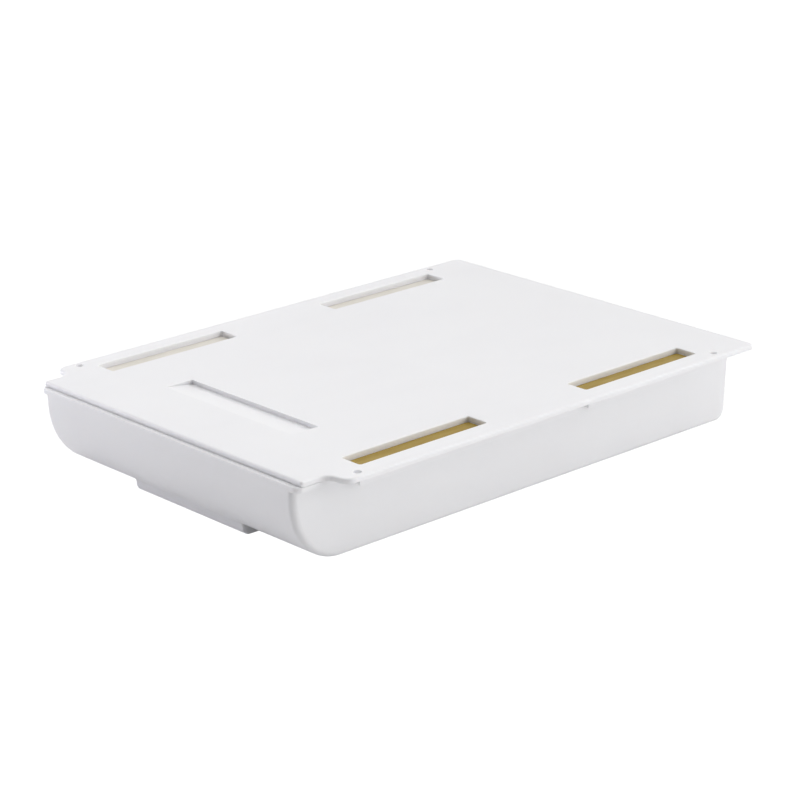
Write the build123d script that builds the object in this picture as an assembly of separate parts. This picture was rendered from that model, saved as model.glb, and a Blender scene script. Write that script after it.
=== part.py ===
from build123d import *
import os

# Under desk drawer: a mounting plate that sticks or screws to the underside of a desk,
# and a shallow tray that hangs from two pairs of hook rails under it and pulls out forwards.
#
# Frame, in millimetres: the origin is the middle of the plate's top face, which is the face
# against the desk. +Z points up into the desk, -Y is the way the tray pulls out, +X is right.

os.makedirs("parts", exist_ok=True)

# ---- mounting plate -------------------------------------------------------------------
PLATE_WIDTH = 235.0
PLATE_LENGTH = 315.0
PLATE_THICKNESS = 2.8
NOSE_WIDTH = 208.6            # the plate narrows at its front edge
NOSE_LENGTH = 16.6            # from the front edge back to the shoulders
SHOULDER_RADIUS = 6.5         # both arcs of the S-shaped shoulder
NOSE_CORNER_RADIUS = 1.5
REAR_CORNER_RADIUS = 4.5
TOP_EDGE_RADIUS = 1.0
BOTTOM_EDGE_RADIUS = 0.4

POCKET_X = 98.7               # middle of each adhesive pocket, left and right
POCKET_Y = 78.8               # middle of each pocket, front and rear
POCKET_WIDTH = 13.8
POCKET_LENGTH = 85.6
POCKET_DEPTH = 4.0
POCKET_CORNER_RADIUS = 1.2
MOUTH_EDGE_RADIUS = 0.5       # round the top of each pocket and screw hole
POCKET_SIDE_WALL = 0.9
POCKET_FLOOR = 1.0

SCREW_X = 111.8
SCREW_Y = 128.9
SCREW_HOLE_DIAMETER = 4.0

STOP_WIDTH = 101.5            # snap stop, a ramp pressed down out of the plate
STOP_Y = -100.4               # its deep end
STOP_RAMP = 17.6
STOP_DEPTH = 2.5
STOP_REACH = 5.2              # how far below the top face the ramp's underside hangs
STOP_TIP = 2.0                # thickness of the stop behind its deep end

RAIL_OUTER_X = 106.5
RAIL_WEB = 2.0
RAIL_BOTTOM = -10.4
RAIL_HOOK = 1.8               # thickness of the lip that carries the tray's flange
RAIL_HOOK_TIP_X = 101.6
RAIL_SPANS = ((-122.5, 30.5), (37.0, 122.5))

# ---- adhesive pads --------------------------------------------------------------------
PAD_GAP = 0.3                 # round each pad, inside its pocket
PAD_THICKNESS = 0.7
LINER_THICKNESS = 0.2

# ---- drawer tray ----------------------------------------------------------------------
TRAY_TOP = -2.86              # top of the front, just under the plate
TRAY_BOTTOM = -47.6
TRAY_FRONT = -160.2
TRAY_REAR = 156.4
TRAY_TOP_WIDTH = 201.3
TRAY_BOTTOM_WIDTH = 198.6
TRAY_WALL = 2.4
NOSE_CURVE_DEPTH = 32.0       # quarter ellipse from the front face into the bottom
NOSE_CURVE_HEIGHT = 36.5
TRAY_EDGE_RADIUS = 3.5
TRAY_REAR_RADIUS = 7.0
REAR_DRAFT = 1.2              # the rear wall leans in by this much at the bottom

FRONT_RIM_WIDTH = 208.0
FRONT_RIM_REAR = -124.5       # behind this the tray's edge steps down, under the pockets
FRONT_RIM_HEIGHT = 2.84
FRONT_RIM_INSIDE = 4.6
FRONT_RIM_CORNER = 4.0
FRONT_RIM_EDGE_RADIUS = 0.7

FLANGE_TOP = -5.5
FLANGE_BOTTOM = -8.2
FLANGE_REAR = 151.0

CATCH_WIDTH = 92.0            # raised part of the rear wall, which meets the snap stop
CATCH_TOP = -3.4
CATCH_SETBACK = 0.1           # in front of the rear wall's outer face
CATCH_EDGE_RADIUS = 0.5

GRIP_WIDTH = 87.6
GRIP_FRONT = -145.2
GRIP_REAR = -130.0
GRIP_BOTTOM = -48.8
GRIP_ROOT = -38.0             # inside the tray's front curve
GRIP_NOSE_RADIUS = 4.5
GRIP_END_RADIUS = 0.8
GRIP_CREASE_RADIUS = 4.0      # the hollow curve by which the grip's front runs into the tray
GRIP_CREASE_FOOT = -43.95
GRIP_CREASE_TURN = 52.0       # degrees, to just inside the tray's outer face
GRIP_WALL = 3.0

TOOL = 20.0                   # how far cutting shapes run past what they cut


def block(x0, x1, y0, y1, z0, z1):
    """A box between two corners."""
    return Pos((x0 + x1) / 2, (y0 + y1) / 2, (z0 + z1) / 2) * Box(x1 - x0, y1 - y0, z1 - z0)


def side_prism(points, width):
    """A closed outline of (y, z) points, pulled out to both sides of the middle."""
    return extrude(Plane.YZ * make_face(Polyline(*points, close=True)), width / 2, both=True)


def plate_outline():
    """The plate from above: a rectangle whose front narrows through S-shaped shoulders."""
    front = -PLATE_LENGTH / 2
    body_length = PLATE_LENGTH - NOSE_LENGTH
    outline = Pos(0, NOSE_LENGTH / 2) * Rectangle(PLATE_WIDTH, body_length)
    outline += Rectangle(NOSE_WIDTH, PLATE_LENGTH)
    shoulder = [v for v in outline.vertices() if abs(v.Y - front - NOSE_LENGTH) < 0.01]
    outline = fillet(shoulder, SHOULDER_RADIUS)
    outline = fillet([v for v in outline.vertices() if abs(v.Y - front) < 0.01], NOSE_CORNER_RADIUS)
    return fillet([v for v in outline.vertices() if abs(v.Y + front) < 0.01], REAR_CORNER_RADIUS)


def pockets(grow, top, bottom):
    """The four pocket shapes, grown sideways and running from one height to another."""
    footprint = RectangleRounded(
        POCKET_WIDTH + 2 * grow, POCKET_LENGTH + 2 * grow, POCKET_CORNER_RADIUS + max(grow, 0)
    )
    shape = extrude(footprint, top - bottom)
    return [Pos(x, y, bottom) * shape for x, y in pocket_centres().values()]


def pocket_centres():
    """Where each pocket is, by the name of its corner of the plate."""
    sides = {"right": 1, "left": -1}
    ends = {"front": -1, "rear": 1}
    return {
        f"{end}_{side}": (sides[side] * POCKET_X, ends[end] * POCKET_Y) for end in ends for side in sides
    }


def hook_rail(y0, y1, side):
    """One length of rail: a web down from the plate and a lip turned in under the flange."""
    web = block(RAIL_OUTER_X - RAIL_WEB, RAIL_OUTER_X, y0, y1, RAIL_BOTTOM, -PLATE_THICKNESS)
    lip = block(RAIL_HOOK_TIP_X, RAIL_OUTER_X, y0, y1, RAIL_BOTTOM, RAIL_BOTTOM + RAIL_HOOK)
    rail = web + lip
    return rail if side > 0 else mirror(rail, Plane.YZ)


def mounting_plate():
    outline = plate_outline()
    plate = extrude(outline, -PLATE_THICKNESS)
    plate = fillet(plate.faces().sort_by(Axis.Z)[0].edges(), BOTTOM_EDGE_RADIUS)
    plate = fillet(plate.faces().sort_by(Axis.Z)[-1].edges(), TOP_EDGE_RADIUS)

    for boss in pockets(POCKET_SIDE_WALL, -PLATE_THICKNESS, -POCKET_DEPTH - POCKET_FLOOR):
        plate += boss
    for y0, y1 in RAIL_SPANS:
        for side in (1, -1):
            plate += hook_rail(y0, y1, side)
    for pocket in pockets(0, TOOL, -POCKET_DEPTH):
        plate -= pocket
    for x in (SCREW_X, -SCREW_X):
        for y in (SCREW_Y, -SCREW_Y):
            plate -= Pos(x, y, 0) * Cylinder(SCREW_HOLE_DIAMETER / 2, TOOL)
    mouths = [e for wire in plate.faces().sort_by(Axis.Z)[-1].inner_wires() for e in wire.edges()]
    plate = fillet(mouths, MOUTH_EDGE_RADIUS)

    stop_rear = STOP_Y + STOP_TIP
    ramp_front = STOP_Y - STOP_RAMP
    plate += side_prism(
        ((ramp_front - STOP_TIP, -PLATE_THICKNESS), (STOP_Y - STOP_TIP, -STOP_REACH),
         (stop_rear, -STOP_REACH), (stop_rear, -PLATE_THICKNESS)),
        STOP_WIDTH + 2 * STOP_TIP,
    )
    plate -= side_prism(((ramp_front, 0), (STOP_Y, -STOP_DEPTH), (STOP_Y, TOOL), (ramp_front, TOOL)), STOP_WIDTH)
    return plate


def tray_outside():
    """The tray's closed outer shape: leaning sides, an elliptical nose and rounded edges."""
    curve_top = TRAY_BOTTOM + NOSE_CURVE_HEIGHT
    curve_end = TRAY_FRONT + NOSE_CURVE_DEPTH
    rear_foot = TRAY_REAR - REAR_DRAFT
    outline = [
        Line((TRAY_FRONT, TRAY_TOP), (TRAY_FRONT, curve_top)),
        EllipticalCenterArc(
            (curve_end, curve_top), NOSE_CURVE_DEPTH, NOSE_CURVE_HEIGHT, start_angle=180, arc_size=90
        ),
        Line((curve_end, TRAY_BOTTOM), (rear_foot, TRAY_BOTTOM)),
        Line((rear_foot, TRAY_BOTTOM), (TRAY_REAR, TRAY_TOP)),
        Line((TRAY_REAR, TRAY_TOP), (TRAY_FRONT, TRAY_TOP)),
    ]
    side = make_face(Curve() + outline)
    foot = [v for v in side.vertices() if abs(v.X - rear_foot) < 0.01 and abs(v.Y - TRAY_BOTTOM) < 0.01]
    side = fillet(foot, TRAY_REAR_RADIUS)
    body = extrude(Plane.YZ * side, TRAY_TOP_WIDTH, both=True)

    top, foot = TRAY_TOP_WIDTH / 2, TRAY_BOTTOM_WIDTH / 2
    ends = Polyline((-top, TRAY_TOP), (top, TRAY_TOP), (foot, TRAY_BOTTOM), (-foot, TRAY_BOTTOM), close=True)
    body &= extrude(Plane.XZ * make_face(ends), PLATE_LENGTH, both=True)
    sides = [e for e in body.edges() if abs(e.center().X) > foot - 1 and e.center().Z < TRAY_TOP - 0.1]
    return fillet(sides, TRAY_EDGE_RADIUS)


def front_rim():
    """The thickened top of the tray's front, which stands out past its side walls."""
    length = FRONT_RIM_REAR - TRAY_FRONT
    outline = Pos(0, TRAY_FRONT + length / 2) * Rectangle(FRONT_RIM_WIDTH, length)
    outline = fillet([v for v in outline.vertices() if v.Y < FRONT_RIM_REAR - 1], FRONT_RIM_CORNER)
    inside = FRONT_RIM_WIDTH / 2 - FRONT_RIM_INSIDE - TRAY_WALL
    rim = Pos(0, 0, TRAY_TOP - FRONT_RIM_HEIGHT) * extrude(outline, FRONT_RIM_HEIGHT)
    rim = fillet(
        [e for e in rim.edges().group_by(Axis.Z)[-1] if e.center().Y < FRONT_RIM_REAR - 1],
        FRONT_RIM_EDGE_RADIUS,
    )
    return rim - block(-inside, inside, TRAY_FRONT + FRONT_RIM_INSIDE, 0, -TOOL, 0)


def finger_grip():
    """The pull under the front: a lip with closed ends, open below and behind for fingers."""
    foot = (GRIP_FRONT, GRIP_CREASE_FOOT)
    crease = JernArc(foot, (0, 1), GRIP_CREASE_RADIUS, GRIP_CREASE_TURN)
    lip = Polyline(crease @ 1, (GRIP_REAR, GRIP_ROOT), (GRIP_REAR, GRIP_BOTTOM), (GRIP_FRONT, GRIP_BOTTOM), foot)
    side = make_face(Curve() + [crease, lip])
    toe = [v for v in side.vertices() if v.X < GRIP_REAR - 1 and v.Y < GRIP_BOTTOM + 1]
    bar = extrude(Plane.YZ * fillet(toe, GRIP_NOSE_RADIUS), GRIP_WIDTH / 2, both=True)
    ends = [f for f in bar.faces() if abs(f.center().X) > GRIP_WIDTH / 2 - 0.1]
    outline = [e for f in ends for e in f.edges() if e.center().Y < GRIP_REAR - 1 and e.center().Z < GRIP_ROOT - 2]
    bar = fillet(outline, GRIP_END_RADIUS)
    hollow = GRIP_WIDTH / 2 - GRIP_WALL
    return bar - block(
        -hollow, hollow, GRIP_FRONT + GRIP_WALL, GRIP_REAR + TOOL, GRIP_BOTTOM - TOOL, GRIP_ROOT + TOOL
    )


def drawer_tray():
    outside = tray_outside()
    tray = offset(outside, -TRAY_WALL, openings=outside.faces().sort_by(Axis.Z)[-1])
    tray -= block(-TOOL - TRAY_TOP_WIDTH, TRAY_TOP_WIDTH + TOOL, FRONT_RIM_REAR, TRAY_REAR + TOOL, FLANGE_TOP, 0)
    tray += front_rim()

    half = FRONT_RIM_WIDTH / 2
    wall_inside = TRAY_TOP_WIDTH / 2 - TRAY_WALL / 2
    for x0, x1 in ((wall_inside, half), (-half, -wall_inside)):
        tray += block(x0, x1, FRONT_RIM_REAR, FLANGE_REAR, FLANGE_BOTTOM, FLANGE_TOP)

    catch = block(-CATCH_WIDTH / 2, CATCH_WIDTH / 2, TRAY_REAR - TRAY_WALL, TRAY_REAR - CATCH_SETBACK,
                  FLANGE_TOP - 1, CATCH_TOP)
    tray += fillet(catch.edges().group_by(Axis.Z)[-1], CATCH_EDGE_RADIUS)
    return tray + (finger_grip() - outside)


def adhesive_pad():
    return extrude(
        RectangleRounded(POCKET_WIDTH - 2 * PAD_GAP, POCKET_LENGTH - 2 * PAD_GAP, POCKET_CORNER_RADIUS),
        PAD_THICKNESS,
    )


def release_liner():
    return extrude(
        RectangleRounded(POCKET_WIDTH - 2 * PAD_GAP, POCKET_LENGTH - 2 * PAD_GAP, POCKET_CORNER_RADIUS),
        LINER_THICKNESS,
    )


def travel():
    """How far the tray pulls out before its catch meets the snap stop."""
    return (TRAY_REAR - TRAY_WALL) - (STOP_Y + STOP_TIP)


parts = {"mounting_plate": mounting_plate(), "drawer_tray": drawer_tray()}
for corner, (x, y) in pocket_centres().items():
    parts[f"adhesive_pad_{corner}"] = Pos(x, y, -POCKET_DEPTH) * adhesive_pad()
    parts[f"release_liner_{corner}"] = Pos(x, y, -POCKET_DEPTH + PAD_THICKNESS) * release_liner()

for name, shape in parts.items():
    export_step(shape, f"parts/{name}.step")
    box = shape.bounding_box()
    print(f"{name}: {shape.volume / 1000:.2f} cm3, z {box.min.Z:.2f} to {box.max.Z:.2f}")
print(f"tray travel {travel():.2f} mm")
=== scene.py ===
# %% [markdown]
# # Under desk drawer
# A shallow plastic drawer for the underside of a desk: a flat mounting plate that sticks or
# screws to the desk, and a tray that hangs from hook rails under it. The design file already
# holds every piece at its real size, so this lesson loads those pieces and gives them their
# finish, and then builds a small studio round them.

# %% Load the drawer
import math

import bmesh
import bpy
from mathutils import Matrix, Vector


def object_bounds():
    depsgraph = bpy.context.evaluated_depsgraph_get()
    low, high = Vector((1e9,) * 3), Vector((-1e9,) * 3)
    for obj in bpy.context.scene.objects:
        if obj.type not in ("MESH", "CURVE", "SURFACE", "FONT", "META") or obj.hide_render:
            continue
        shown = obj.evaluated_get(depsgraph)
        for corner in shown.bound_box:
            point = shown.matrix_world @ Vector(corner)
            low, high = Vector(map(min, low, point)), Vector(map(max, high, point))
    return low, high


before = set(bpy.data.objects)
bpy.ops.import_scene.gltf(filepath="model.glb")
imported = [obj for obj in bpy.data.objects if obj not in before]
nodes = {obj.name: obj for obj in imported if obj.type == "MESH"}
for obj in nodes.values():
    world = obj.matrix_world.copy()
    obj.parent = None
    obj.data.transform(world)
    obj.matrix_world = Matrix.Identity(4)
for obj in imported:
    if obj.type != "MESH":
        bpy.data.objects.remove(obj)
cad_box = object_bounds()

print("pieces:", sorted(nodes))

# %% [markdown]
# ## The camera
# The drawer is seen from above its front right corner. A long lens a good way off keeps the
# plate's sides nearly parallel. The camera could be given as a bare position and a rotation,
# but a direction, a distance and a small shift from the drawer's middle are easier to read and
# to change, so the matrix is built from those.

# %% Camera
AZIMUTH = math.radians(47.56)
ELEVATION = math.radians(19.28)
ROLL = math.radians(-0.66)
DISTANCE = 1.4333
SIDE_SHIFT = 0.0011
RISE = -0.0220
LENS_MM = 119.88
SENSOR_MM = 36.0


def facing(azimuth, elevation):
    """A turn that points local Z from the drawer towards an azimuth and elevation."""
    return Matrix.Rotation(azimuth, 4, "Z") @ Matrix.Rotation(math.pi / 2 - elevation, 4, "X")


camera_data = bpy.data.cameras.new("studio_camera")
camera_data.lens = LENS_MM
camera_data.sensor_width = SENSOR_MM
camera = bpy.data.objects.new("studio_camera", camera_data)
turn = facing(AZIMUTH, ELEVATION)
place = turn @ Vector((SIDE_SHIFT, RISE, DISTANCE))
camera.matrix_world = Matrix.Translation(place) @ turn @ Matrix.Rotation(ROLL, 4, "Z")
bpy.context.scene.collection.objects.link(camera)
bpy.context.scene.camera = camera
print("camera at", [round(c, 3) for c in camera.matrix_world.translation])

# %% [markdown]
# ## Tools for making finishes
# Every finish here is a Principled shader fed by a few noise patterns. Writing each node and
# link by hand is long, so small helpers do it. These two start a material and add a node with
# its settings, and a third gives the finish to the pieces that the design file made.

# %% Helpers for materials
def new_finish(name):
    """A material with only a Principled shader and its output."""
    material = bpy.data.materials.new(name)
    material.use_nodes = True
    tree = material.node_tree
    tree.nodes.clear()
    shader = tree.nodes.new("ShaderNodeBsdfPrincipled")
    output = tree.nodes.new("ShaderNodeOutputMaterial")
    tree.links.new(shader.outputs["BSDF"], output.inputs["Surface"])
    return material, tree, shader


def add(tree, kind, **settings):
    """A node of one kind. A setting is a property's name, or an input's with _ for spaces."""
    node = tree.nodes.new("ShaderNode" + kind)
    for key, value in settings.items():
        if hasattr(node, key):
            setattr(node, key, value)
        else:
            node.inputs[key.replace("_", " ")].default_value = value
    return node


def dress(material, names):
    """Gives CAD nodes one finish in place of their plain one."""
    for name in names:
        mesh = nodes[name].data
        mesh.materials.clear()
        mesh.materials.append(material)
    print(material.name, "on", len(names), "pieces")


print("finishes for", len(nodes), "pieces")

# %% [markdown]
# ## Patterns
# No real surface has one even colour, so each finish varies its colour, its gloss and its
# relief. Noise gives the variation, and the same noise can be spread between two numbers,
# between two colours or into a bump. All patterns read Object coordinates, which are in metres
# and stay with the piece when it moves. A scale of 1000 is a pattern about 1 mm wide.

# %% Helpers for patterns
def noise(tree, scale, stretch=(1, 1, 1), detail=2.0):
    """Noise on Object coordinates, drawn out along an axis by a stretch below 1."""
    place = add(tree, "TexCoord")
    mapping = add(tree, "Mapping", Scale=stretch)
    pattern = add(tree, "TexNoise", Scale=scale, Detail=detail)
    tree.links.new(place.outputs["Object"], mapping.inputs["Vector"])
    tree.links.new(mapping.outputs["Vector"], pattern.inputs["Vector"])
    return pattern.outputs["Fac"]


def spread(tree, value, low, high, start=0.3, end=0.7):
    """Maps the middle of a noise value onto low to high."""
    ramp = add(tree, "MapRange", From_Min=start, From_Max=end, To_Min=low, To_Max=high)
    tree.links.new(value, ramp.inputs["Value"])
    return ramp.outputs["Result"]


COLOUR_A, COLOUR_B, COLOUR_OUT = 6, 7, 2     # the Mix node's sockets when it mixes colours


def blend_colours(tree, value, first, second):
    """A colour between two, by a value from 0 to 1. Each may be a colour or another output."""
    mix = add(tree, "Mix", data_type="RGBA")
    tree.links.new(value, mix.inputs["Factor"])
    for index, colour in ((COLOUR_A, first), (COLOUR_B, second)):
        if isinstance(colour, bpy.types.NodeSocket):
            tree.links.new(colour, mix.inputs[index])
        else:
            mix.inputs[index].default_value = (*colour, 1)
    return mix.outputs[COLOUR_OUT]


def add_bump(tree, shader, layers):
    """Chains bumps of (height, depth in metres, strength) into the shader's normal."""
    normal = None
    for height, depth, strength in layers:
        bump = add(tree, "Bump", Strength=strength, Distance=depth)
        tree.links.new(height, bump.inputs["Height"])
        if normal:
            tree.links.new(normal, bump.inputs["Normal"])
        normal = bump.outputs["Normal"]
    tree.links.new(normal, shader.inputs["Normal"])


print("patterns: noise, spreads, blended colours and bumps")

# %% [markdown]
# ## White moulded plastic
# The plate and the tray are injection moulded in white plastic with a satin surface. A mould
# leaves three marks: a very fine even grain from the spark-eroded steel, a slow unevenness in
# gloss where the plastic cooled at different speeds, and faint streaks along the way the
# plastic flowed, which is the drawer's length. The edges are then painted a little lighter, a
# painted highlight on them. A Bevel node gives a rounded normal, and where that differs from the
# true normal there is an edge, so it makes the mask for the painted highlight on any shape.
#
# White plastic also lets light in: it scatters a millimetre or two under the skin and comes out
# again, which keeps narrow seams and small pockets from going black. Subsurface scattering does
# this, so no seam has to be painted lighter.

# %% Painted edge highlight
EDGE_RADIUS = 0.0007
EDGE_SHARP, EDGE_FLAT = 0.86, 0.995     # how far the two normals agree, as a cosine


# The mask for the painted edge highlight: edges are made lighter in colour.
def edge_highlight_mask(tree):
    """From 0 on flat faces to 1 on edges sharper than the radius."""
    rounded = add(tree, "Bevel", samples=6, Radius=EDGE_RADIUS)
    geometry = add(tree, "NewGeometry")
    dot = add(tree, "VectorMath", operation="DOT_PRODUCT")
    tree.links.new(rounded.outputs["Normal"], dot.inputs[0])
    tree.links.new(geometry.outputs["Normal"], dot.inputs[1])
    return spread(tree, dot.outputs["Value"], 1.0, 0.0, EDGE_SHARP, EDGE_FLAT)


# the painted edge highlight spreads over this radius
print("edges wear over", EDGE_RADIUS * 1000, "mm")

# %% White plastic
PLASTIC_WHITE = (0.868, 0.866, 0.880)
PLASTIC_SHADE = (0.845, 0.842, 0.858)
# painted highlight: the lighter colour given to every edge
PLASTIC_EDGE_HIGHLIGHT = (0.895, 0.894, 0.902)
CLOUD_SCALE = 14                        # slow changes of tone, several centimetres wide
STREAK_SCALE = 60
STREAK_STRETCH = (1, 0.12, 1)           # drawn out along the drawer
GLOSS_SCALE = 35
SPECK_SCALE = 1800
WAVE_SCALE, WAVE_DEPTH = 9, 0.0006      # the slight unevenness of a large thin moulding
GRAIN_SCALE, GRAIN_DEPTH = 2600, 0.00003


def white_plastic():
    """The satin white of the plate and the tray."""
    material, tree, shader = new_finish("white_plastic")
    clouds = spread(tree, noise(tree, CLOUD_SCALE, detail=3), 0.0, 1.0)
    streaks = spread(tree, noise(tree, STREAK_SCALE, STREAK_STRETCH, detail=3), 0.0, 0.5)
    tone = blend_colours(tree, clouds, PLASTIC_WHITE, PLASTIC_SHADE)
    tone = blend_colours(tree, streaks, tone, PLASTIC_WHITE)
    # painted highlight: a lighter colour on every edge
    tone = blend_colours(tree, edge_highlight_mask(tree), tone, PLASTIC_EDGE_HIGHLIGHT)
    tree.links.new(tone, shader.inputs["Base Color"])

    gloss = add(tree, "Math", operation="ADD")
    tree.links.new(spread(tree, noise(tree, GLOSS_SCALE, detail=4), 0.33, 0.41), gloss.inputs[0])
    tree.links.new(spread(tree, noise(tree, SPECK_SCALE), -0.02, 0.02), gloss.inputs[1])
    tree.links.new(gloss.outputs["Value"], shader.inputs["Roughness"])
    shader.inputs["IOR"].default_value = 1.5
    shader.inputs["Subsurface Weight"].default_value = 0.7
    shader.inputs["Subsurface Radius"].default_value = (1.0, 0.97, 0.95)
    shader.inputs["Subsurface Scale"].default_value = 0.0016

    add_bump(tree, shader, (
        (noise(tree, WAVE_SCALE, detail=1), WAVE_DEPTH, 0.12),
        (noise(tree, GRAIN_SCALE), GRAIN_DEPTH, 0.25),
    ))
    return material


dress(white_plastic(), ["mounting_plate", "drawer_tray"])

# %% [markdown]
# ## Release liners
# A strip of release paper covers the sticky face of each pad until the drawer is hung. It is a
# thin kraft paper with a wax coat, so it shows long fibres under a soft sheen. Noise stretched
# along the strip draws the fibres, a finer one darkens single fibres, and the same fibres raise
# the surface a little. The two on the right are a golden paper and the two on the left a paler
# one, so one function makes both from their colours.

# %% Liners
GOLD_PAPER = ((0.400, 0.275, 0.034), (0.340, 0.222, 0.022))
PALE_PAPER = ((0.800, 0.765, 0.700), (0.730, 0.690, 0.620))
PULP_SCALE, PULP_STRETCH = 260, (1, 0.22, 1)
FIBRE_SCALE, FIBRE_STRETCH = 1400, (1, 0.08, 1)
FIBRE_DEPTH = 0.00006
CURL_SCALE, CURL_DEPTH = 120, 0.0003    # the paper never lies quite flat


def waxed_paper(name, colours):
    """Release paper from its light and its dark colour."""
    material, tree, shader = new_finish(name)
    light, dark = colours
    pulp = spread(tree, noise(tree, PULP_SCALE, PULP_STRETCH, detail=4), 0.0, 1.0)
    fibres = noise(tree, FIBRE_SCALE, FIBRE_STRETCH, detail=3)
    marks = spread(tree, fibres, 0.0, 0.7, 0.45, 0.75)
    tone = blend_colours(tree, pulp, light, dark)
    tone = blend_colours(tree, marks, tone, dark)
    tree.links.new(tone, shader.inputs["Base Color"])
    tree.links.new(spread(tree, pulp, 0.5, 0.62, 0.0, 1.0), shader.inputs["Roughness"])
    shader.inputs["Coat Weight"].default_value = 0.08
    shader.inputs["Coat Roughness"].default_value = 0.4
    curl = noise(tree, CURL_SCALE)
    add_bump(tree, shader, ((fibres, FIBRE_DEPTH, 0.5), (curl, CURL_DEPTH, 0.2)))
    return material


liners = [name for name in nodes if name.startswith("release_liner")]
dress(waxed_paper("gold_release_paper", GOLD_PAPER), [n for n in liners if n.endswith("right")])
dress(waxed_paper("pale_release_paper", PALE_PAPER), [n for n in liners if n.endswith("left")])

# %% [markdown]
# ## Foam pads
# Under each liner is a pad of closed-cell foam tape. Only its cut edge shows, in the thin gap
# round it. Cut foam is a field of small open cells, which a Voronoi pattern draws well: the
# distance to the nearest cell centre paints shade into the pits and lowers them in the bump.

# %% Foam
FOAM_LIGHT = (0.72, 0.71, 0.68)
# the painted shade in the pits
FOAM_PIT_SHADE = (0.50, 0.49, 0.46)
CELL_SCALE, CELL_DEPTH = 2200, 0.0002


def foam_tape():
    """Closed-cell foam, cut open into small pits."""
    material, tree, shader = new_finish("foam_tape")
    place = add(tree, "TexCoord")
    cells = add(tree, "TexVoronoi", Scale=CELL_SCALE)
    tree.links.new(place.outputs["Object"], cells.inputs["Vector"])
    # painted shade: darker towards the middle of each cell, where the pits are
    pits = spread(tree, cells.outputs["Distance"], 1.0, 0.0, 0.05, 0.6)
    tone = blend_colours(tree, pits, FOAM_LIGHT, FOAM_PIT_SHADE)
    tree.links.new(tone, shader.inputs["Base Color"])
    tree.links.new(spread(tree, noise(tree, 300), 0.75, 0.92), shader.inputs["Roughness"])
    add_bump(tree, shader, ((cells.outputs["Distance"], CELL_DEPTH, 0.6),))
    return material


dress(foam_tape(), [name for name in nodes if name.startswith("adhesive_pad")])

# %% [markdown]
# ## Floor and bounce card
# The drawer is shown over a wide white floor that is lit up to pure white, so it looks cut out.
# A floor that bright would throw far too much light up at the drawer, so it is seen but doesn't
# light anything. The light from below comes instead from a white card just under the drawer,
# which is hidden from the camera. It catches the drawer's own shadow, and that darkens the
# grip, as a table top does. Both are one square made by the same function.

# %% Floor and card
FLOOR_DROP = 0.25
FLOOR_HALF = 12.0
CARD_GAP = 0.0004
CARD_HALF = 4.0
PAPER_WHITE = (0.90, 0.90, 0.90)
PAPER_SHADE = (0.87, 0.87, 0.87)
CARD_WHITE = (0.85, 0.85, 0.85)
CARD_SHADE = (0.84, 0.84, 0.84)
GLOW_COLOUR = (1, 1, 1, 1)


def stage_square(name, half, height, colours, glow_strength):
    """A flat square round the middle, in a dull white paper that glows a little."""
    bm = bmesh.new()
    bmesh.ops.create_grid(bm, x_segments=1, y_segments=1, size=half)
    bmesh.ops.translate(bm, verts=bm.verts, vec=(0, 0, height))
    mesh = bpy.data.meshes.new(name)
    bm.to_mesh(mesh)
    bm.free()
    square = bpy.data.objects.new(name, mesh)
    bpy.context.scene.collection.objects.link(square)
    material, tree, shader = new_finish(name + "_paper")
    fibres = spread(tree, noise(tree, 90, detail=3), 0.0, 1.0)
    tree.links.new(blend_colours(tree, fibres, *colours), shader.inputs["Base Color"])
    tree.links.new(spread(tree, noise(tree, 400), 0.85, 0.95), shader.inputs["Roughness"])
    shader.inputs["Specular IOR Level"].default_value = 0.0
    shader.inputs["Emission Color"].default_value = GLOW_COLOUR
    shader.inputs["Emission Strength"].default_value = glow_strength
    mesh.materials.append(material)
    return square


bottom = cad_box[0][2]
floor_height = bottom - FLOOR_DROP
floor = stage_square("studio_floor", FLOOR_HALF, floor_height, (PAPER_WHITE, PAPER_SHADE), 1.0)
floor.visible_diffuse = False
floor.visible_glossy = False
card_height = bottom - CARD_GAP
card = stage_square("bounce_card", CARD_HALF, card_height, (CARD_WHITE, CARD_SHADE), 0.06)
card.visible_camera = False
print("floor at", round(floor_height, 3), "card at", round(card_height, 4))

# %% [markdown]
# ## The room's glow
# The room is two wide soft glows behind the drawer, one on each side, and dark elsewhere. They
# brighten the drawer's curved edges without a visible source. An image of a studio could do
# this, but two glows are easier to steer: the dot product of the view direction with a glow's
# direction, raised to a power, fades smoothly away from it.

# %% Room
RIGHT_GLOW = (150, 15, 1.65, 4)         # azimuth and elevation in degrees, strength, tightness
LEFT_GLOW = (-135, 35, 1.1, 2)


def glow(sky, azimuth, elevation, strength, tightness):
    """A soft bright patch of sky in one direction, as a value."""
    toward = facing(math.radians(azimuth), math.radians(elevation)) @ Vector((0, 0, 1))
    direction = add(sky, "TexCoord")
    dot = add(sky, "VectorMath", operation="DOT_PRODUCT")
    dot.inputs[1].default_value = toward
    sky.links.new(direction.outputs["Generated"], dot.inputs[0])
    level = dot.outputs["Value"]
    for step, amount in (("MAXIMUM", 0), ("POWER", tightness), ("MULTIPLY", strength)):
        math_node = add(sky, "Math", operation=step)
        math_node.inputs[1].default_value = amount
        sky.links.new(level, math_node.inputs[0])
        level = math_node.outputs["Value"]
    return level


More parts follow.
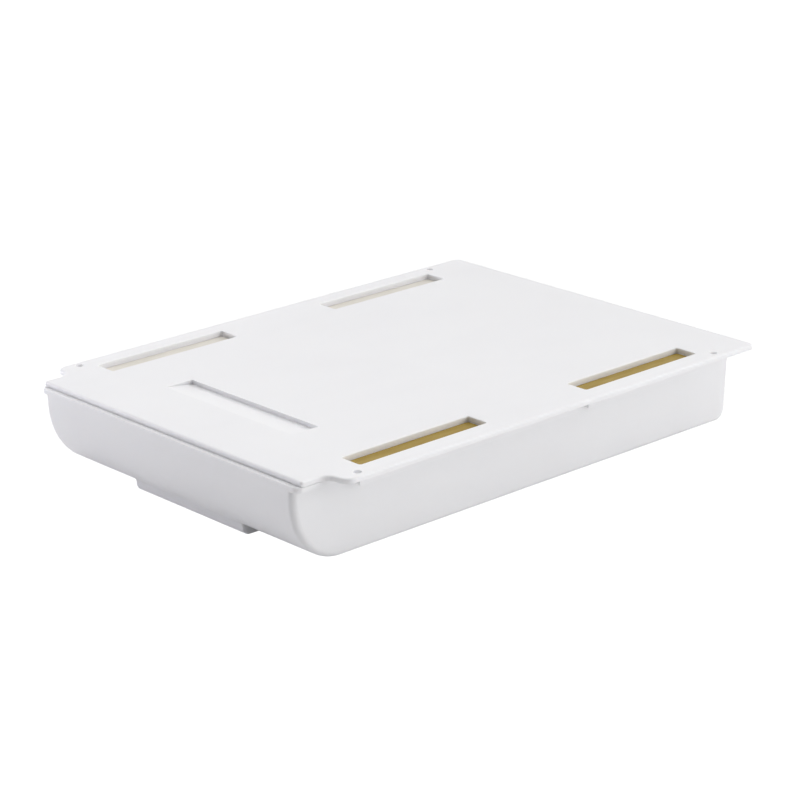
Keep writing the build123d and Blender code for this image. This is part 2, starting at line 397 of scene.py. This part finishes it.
world = bpy.data.worlds.new("studio_room")
bpy.context.scene.world = world
world.use_nodes = True
sky = world.node_tree
room = add(sky, "Math", operation="ADD")
for socket, settings in zip(room.inputs, (RIGHT_GLOW, LEFT_GLOW)):
    sky.links.new(glow(sky, *settings), socket)
background = sky.nodes["Background"]
background.inputs["Color"].default_value = (1, 1, 1, 1)
sky.links.new(room.outputs["Value"], background.inputs["Strength"])
print("room glows:", RIGHT_GLOW, LEFT_GLOW)

# %% [markdown]
# ## Softboxes
# Six softboxes give the main light. A broad box overhead makes the top the brightest face, and
# two high ones, in front and to the side, reach into the pockets. A low box on the left and a
# nearer one beside it light the front, which fades towards the right, and a low box on the
# right lights the long side. None stands near the camera, so edges that face it stay dark and
# draw the drawer's corners. The left pair is slightly cool, which sets the front apart.

# %% Softboxes
FAR, NEAR = 1.6, 0.7                    # metres from what a box lights
COOL = (0.985, 0.97, 1.06)
FRONT_LEFT = (-0.1, -0.16, -0.02)       # the near box faces the drawer's front left corner


def softbox(name, azimuth, elevation, distance, size, power, colour=(1, 1, 1), centre=(0, 0, 0)):
    """A rectangle of light that faces a centre from an azimuth and elevation in degrees."""
    data = bpy.data.lights.new(name, "AREA")
    data.shape = "RECTANGLE"
    data.size, data.size_y = size
    data.energy = power
    data.color = colour
    light = bpy.data.objects.new(name, data)
    aim = facing(math.radians(azimuth), math.radians(elevation))
    light.matrix_world = Matrix.Translation(centre) @ aim @ Matrix.Translation((0, 0, distance))
    bpy.context.scene.collection.objects.link(light)
    print(name, power, "W")


softbox("top_box", 0, 89, FAR, (1.6, 1.6), 6.1)
softbox("front_box", -30, 45, FAR, (0.9, 0.9), 3.8)
softbox("side_box", 80, 45, FAR, (0.9, 0.9), 2.6)
softbox("left_box", -60, 5, FAR, (0.8, 1.0), 0.9, COOL)
softbox("left_near_box", -62, 2, NEAR, (0.4, 0.4), 4.2, COOL, FRONT_LEFT)
softbox("right_box", 118, 10, FAR, (0.8, 1.0), 7.4)
bpy.context.scene.view_settings.view_transform = "Standard"
